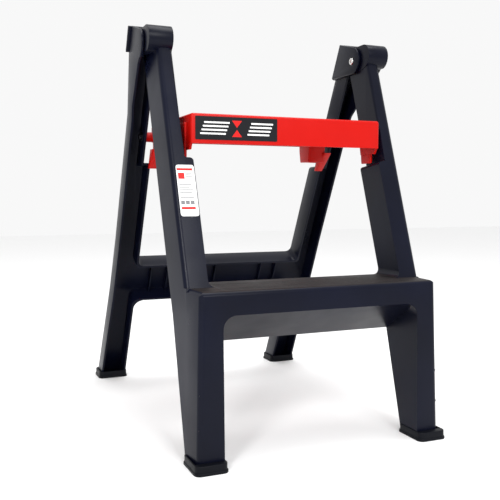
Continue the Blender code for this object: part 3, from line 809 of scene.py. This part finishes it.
combine(tray, block("gap", (-TRAY_HALF_INSIDE, -0.30, 0.40),
                    (TRAY_HALF_INSIDE, FRONT_BAR + 0.02, BAR_LOW)))
for i in range(7):
    x = (i - 3) * RIB_PITCH
    combine(tray, block("web", (x - HALF_RIB, FRONT_BAR + 0.002, 0.4920),
                        (x + HALF_RIB, REAR_BAR - 0.002, under + 0.002)), "UNION")
for i in range(4):
    y = FRONT_BAR + 0.047 * (i + 1)
    combine(tray, block("web", (-0.168, y - HALF_RIB, 0.4960),
                        (0.168, y + HALF_RIB, under + 0.0021)), "UNION")
STRIP_PITCH = 0.036
HALF_STRIP = 0.0035
STRIP_REACH = 0.150
for i in range(6):
    y = FRONT_BAR + 0.028 + i * STRIP_PITCH
    strip = block("strip", (-STRIP_REACH, y - HALF_STRIP, TOP - 0.002),
                  (STRIP_REACH, y + HALF_STRIP, TOP + 0.0007))
    round_some(strip, lambda a, b: abs(a.z - b.z) > 0.001, 0.0030, 4)
    round_some(strip, lambda a, b: min(a.z, b.z) > TOP, 0.0005, 2)
    combine(tray, strip, "UNION")
report("platform tray", tray)


def rear_rim_y(z):
    """Where the rear frame's open rim is at a height."""
    return HINGE.y + (REAR_RIM + (HINGE.z - z) * math.sin(REAR_LEAN)) / math.cos(REAR_LEAN)


TONGUE_LIFT = 0.0035                  # mean gap between a tongue and its shoulder
TONGUE_TOP = 0.5080
STOP_LOW = 0.4418
STOP_HIGH = 0.4760
STOP_GAP = 0.0008
rest = SHOULDER.z - SHOULDER_SLOPE * 0.0422 + TONGUE_LIFT
for side in (-1, 1):
    tongue = profile("tongue", [(-0.1546, rest), (-0.1252, rest), (-0.1185, TONGUE_TOP),
                                (-0.1584, TONGUE_TOP)], *span(side, 0.1690, 0.1735))
    combine(tray, round_edges(tongue, 0.0012, 3, 40), "UNION")
    lug = profile("lug", [(0.0140, 0.4580), (0.0480, 0.4580), (0.0524, 0.4800), (0.0524, 0.5180),
                          (0.0060, 0.5180)], *span(side, 0.1330, 0.1690))
    combine(tray, round_edges(lug, 0.0012, 3, 30), "UNION")
    low_y = rear_rim_y(STOP_LOW)
    high_y = rear_rim_y(STOP_HIGH)
    stop = profile("stop", [(low_y - 0.008, STOP_LOW), (low_y - STOP_GAP, STOP_LOW),
                            (high_y - STOP_GAP, STOP_HIGH), (0.0040, STOP_HIGH)],
                   *span(side, 0.1650, 0.1795))
    combine(tray, round_edges(stop, 0.0008, 2, 30), "UNION")
    combine(tray, rod("boss", PIVOT_AXIS, 0.0090, *span(side, 0.1500, 0.1872), 64), "UNION")
    combine(tray, rod("bore", PIVOT_AXIS, PIN_BORE, *span(side, 0.12, 0.20)))
report("platform with lugs", tray)
finish_piece(tray, "platform_tray", red, "platform_body", ["platform"])

# %% [markdown]
# The feet are soft caps pressed over the leg ends. A foot is a collar with a wider lip at the
# floor, so that it grips and does not cut in. One function makes all four, each with its own mesh:
# the front pair is longer and the rear pair wider, as their legs are.


# %% Feet
LIP_TOP = 0.0042
LIP_REACH = 0.0011
COLLAR_TOP = 0.0140


def foot(name, body, low, high, socket):
    """A rounded collar with a lip at the floor and a socket for the leg."""
    lip = block("lip", (low[0], low[1], 0), (high[0], high[1], LIP_TOP))
    collar = block("collar", (low[0] + LIP_REACH, low[1] + LIP_REACH, 0.001),
                   (high[0] - LIP_REACH, high[1] - LIP_REACH, COLLAR_TOP))
    for part in (lip, collar):
        round_some(part, lambda a, b: abs(a.z - b.z) > 0.001, 0.0095, 7)
        round_some(part, lambda a, b: min(a.z, b.z) > 0.003, 0.0012, 3)
    combine(lip, collar, "UNION")
    combine(lip, block("socket", (socket[0], socket[1], LEG_END - 0.0003),
                       (socket[2], socket[3], 0.05)))
    return finish_piece(lip, name + "_cap", rubber, body, [name])


for side, suffix in ((-1, "left"), (1, "right")):
    x0, x1 = span(side, 0.1620, 0.2136)
    s0, s1 = span(side, 0.1647, 0.2106)
    foot("front_foot_" + suffix, "front", (x0, -0.3261), (x1, -0.2605), (s0, -0.3130, s1, -0.2640))
    x0, x1 = span(side, 0.1716, 0.2326)
    s0, s1 = span(side, 0.1752, 0.2282)
    foot("rear_foot_" + suffix, "rear", (x0, 0.2712), (x1, 0.3261), (s0, 0.2745, s1, 0.3220))

# %% [markdown]
# The hinge hardware is a button-head bolt with a hexagon socket, a flat washer, a nylon bush and
# a brass insert. The platform turns on a plain pin held by a push-on clip. All start as cylinders.


# %% Fasteners
def tube(name, axis, outer, inner, x0, x1):
    """A ring along X with softened edges."""
    made = rod(name, axis, outer, x0, x1, 64)
    combine(made, rod("hole", axis, inner, x0 - 0.01, x1 + 0.01, 64))
    return round_edges(made, 0.00015, 2, 50)


def bolt(side, axis, face, seat, end, head_radius, shank_radius, socket):
    """A domed head on a shank; with a socket it is a bolt, without one a pin."""
    made = rod("head", axis, head_radius, *span(side, face, seat), 64)
    rim = face * side
    round_some(made, lambda a, b: abs(a.x - rim) < 1e-5 and abs(b.x - rim) < 1e-5, 0.0012, 4)
    combine(made, rod("shank", axis, shank_radius, *span(side, seat - 0.0008, end), 48), "UNION")
    if socket:
        combine(made, rod("socket", axis, 0.0036, *span(side, face - 0.01, face + socket), 6))
    return made


SHANK_HOLE = 0.0061
for side, suffix in ((-1, "left"), (1, "right")):
    finish_piece(bolt(side, HINGE_AXIS, face=0.1740, seat=0.1770, end=0.2246, head_radius=0.0064,
                      shank_radius=0.0058, socket=0.0022),
                 "hinge_bolt_turned_" + suffix, zinc, "rear",
                 ["hinge_bolt_" + suffix])
    finish_piece(tube("washer", HINGE_AXIS, 0.0074, SHANK_HOLE, *span(side, 0.1773, 0.1780)),
                 "hinge_washer_cut_" + suffix, zinc, "rear",
                 ["hinge_washer_" + suffix])
    finish_piece(tube("bush", HINGE_AXIS, 0.0092, SHANK_HOLE, *span(side, 0.1815, 0.2209)),
                 "hinge_bush_moulded_" + suffix, nylon, "front",
                 ["hinge_bush_" + suffix])
    finish_piece(tube("insert", HINGE_AXIS, 0.0087, SHANK_HOLE, *span(side, 0.2225, 0.2249)),
                 "hinge_insert_turned_" + suffix, brass, "rear",
                 ["hinge_insert_" + suffix])
    finish_piece(bolt(side, PIVOT_AXIS, face=0.1296, seat=0.1327, end=0.1975, head_radius=0.0070,
                      shank_radius=0.0050, socket=0.0),
                 "platform_pin_turned_" + suffix, black_zinc, "rear",
                 ["platform_pin_" + suffix])
    finish_piece(tube("clip", PIVOT_AXIS, 0.0090, PIN_BORE, *span(side, 0.1923, 0.1936)),
                 "platform_clip_pressed_" + suffix, black_zinc, "rear",
                 ["platform_clip_" + suffix])

# %% [markdown]
# Two printed stickers: a dark band on the platform's front bar and a white card on the left rail.
# What is printed on them is made of plain shapes, thin plates of ink a hair above the film.


# %% Label inks
def ink(name, color, rough):
    """Printed film: a flat ink with a slight mottle and uneven gloss."""
    dark = tuple(c * 0.90 for c in color)
    return moulded(name, dark, color, rough, 0.03)


film_dark = ink("dark_label", (0.0065, 0.0070, 0.0095), 0.30)
film_white = ink("white_label", (0.80, 0.80, 0.79), 0.34)
ink_red = ink("ink_red", (0.62, 0.012, 0.010), 0.34)
ink_grey = ink("ink_grey", (0.18, 0.18, 0.19), 0.36)


def printed(film, plates, inks):
    """Lay ink plates on a film; each plate is (outline mesh, index into inks)."""
    film.data.materials.clear()
    for look in inks:
        film.data.materials.append(look)
    for plate, index in plates:
        plate.data.materials.clear()
        for look in inks:
            plate.data.materials.append(look)
        for face in plate.data.polygons:
            face.material_index = index
    return join([film] + [plate for plate, _ in plates])


# %% Label on the platform
BAND_FACE = FRONT_BAR - 0.0007
BAND_LOW = 0.4797
BAND_HIGH = 0.5159
HALF_INK = 0.0001
BAR_STEP = 0.0058
BAR_SHIFT = 0.0022                    # each bar starts this much further right than the last
BAR_HEIGHT = 0.0026


def band_plate(x0, x1, z0, z1):
    """A thin plate of ink on the band."""
    return block("plate", (x0, BAND_FACE - HALF_INK, z0), (x1, BAND_FACE + HALF_INK, z1))


def band_shape(corners):
    """A thin plate of ink with any outline, given as (x, z) corners."""
    plate = profile("plate", corners, BAND_FACE - HALF_INK, BAND_FACE + HALF_INK)
    for point in plate.data.vertices:
        point.co = (point.co.y, point.co.x, point.co.z)
    return plate


band = block("band", (-0.1640, BAND_FACE, BAND_LOW), (-0.0242, FRONT_BAR - 0.0003, BAND_HIGH))
round_some(band, lambda a, b: abs(a.y - b.y) > 0.0002, 0.0015, 3)
marks = []
for i in range(4):
    z = 0.4880 + i * BAR_STEP
    for start, stop in ((-0.1560, -0.1135), (-0.0765, -0.0385)):
        marks.append((band_plate(start + i * BAR_SHIFT, stop + i * BAR_SHIFT, z, z + BAR_HEIGHT), 1))
marks.append((band_shape([(-0.1030, 0.4850), (-0.0860, 0.4850), (-0.0945, 0.4962)]), 2))
marks.append((band_shape([(-0.0945, 0.4994), (-0.0860, 0.5106), (-0.1030, 0.5106)]), 2))
band = printed(band, marks, (film_dark, film_white, ink_red))


def finish_label(thing, name, body, node_name):
    """Clean and hand over a printed label, keeping its inks."""
    thing.name = name
    thing.data.name = name
    activate(thing)
    bpy.ops.object.mode_set(mode="EDIT")
    bpy.ops.mesh.select_all(action="SELECT")
    bpy.ops.mesh.normals_make_consistent(inside=False)
    bpy.ops.object.mode_set(mode="OBJECT")
    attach(thing, body)
    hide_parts(node_name)
    print(name, len(thing.data.polygons), "faces,", len(thing.data.materials), "inks")
    return thing


finish_label(band, "front_band", "platform_body", "front_label")

# %% [markdown]
# A card on a rail usually carries the rules of use. This one has a red header, a red square, grey
# lines, three grey blocks and a red foot line, and nothing on it can be read.

# %% Card on the rail
CARD_BACK = FRONT_FACE - 0.0003


def card_plate(x0, x1, down0, down1, lift):
    """A thin plate square to the rail's front face."""
    front_of = CARD_BACK - 0.0004 - lift
    behind = CARD_BACK if not lift else CARD_BACK - 0.0003
    corners = [front_point(0, down1, front_of), front_point(0, down1, behind),
               front_point(0, down0, behind), front_point(0, down0, front_of)]
    return profile("plate", [(p.y, p.z) for p in corners], x0, x1)


card = card_plate(-0.1985, -0.1695, 0.2270, 0.3100, 0.0)
round_some(card, lambda a, b: abs(a.x - b.x) < 1e-6 and (a - b).length < 0.001, 0.004, 5)
CARD_MARGIN = -0.1962
INK_LIFT = 0.0001
marks = [(card_plate(-0.1975, -0.1725, 0.2325, 0.2362, INK_LIFT), 1)]
marks.append((card_plate(CARD_MARGIN, -0.1862, 0.2400, 0.2500, INK_LIFT), 1))
for i in range(4):
    down = 0.2402 + i * 0.0026
    marks.append((card_plate(-0.1842, -0.1738 - 0.0018 * (i % 2), down, down + 0.0011, INK_LIFT), 2))
for i in range(7):
    down = 0.2545 + i * 0.0042
    end = -0.1745 - 0.0026 * (i % 3)
    marks.append((card_plate(CARD_MARGIN, end, down, down + 0.0013, INK_LIFT), 2))
for i in range(3):
    x = CARD_MARGIN + i * 0.0076
    marks.append((card_plate(x, x + 0.0062, 0.2850, 0.2912, INK_LIFT), 2))
marks.append((card_plate(CARD_MARGIN, -0.1740, 0.2952, 0.2990, INK_LIFT), 1))
card = printed(card, marks, (film_white, ink_red, ink_grey))
finish_label(card, "info_card", "front", "info_label")
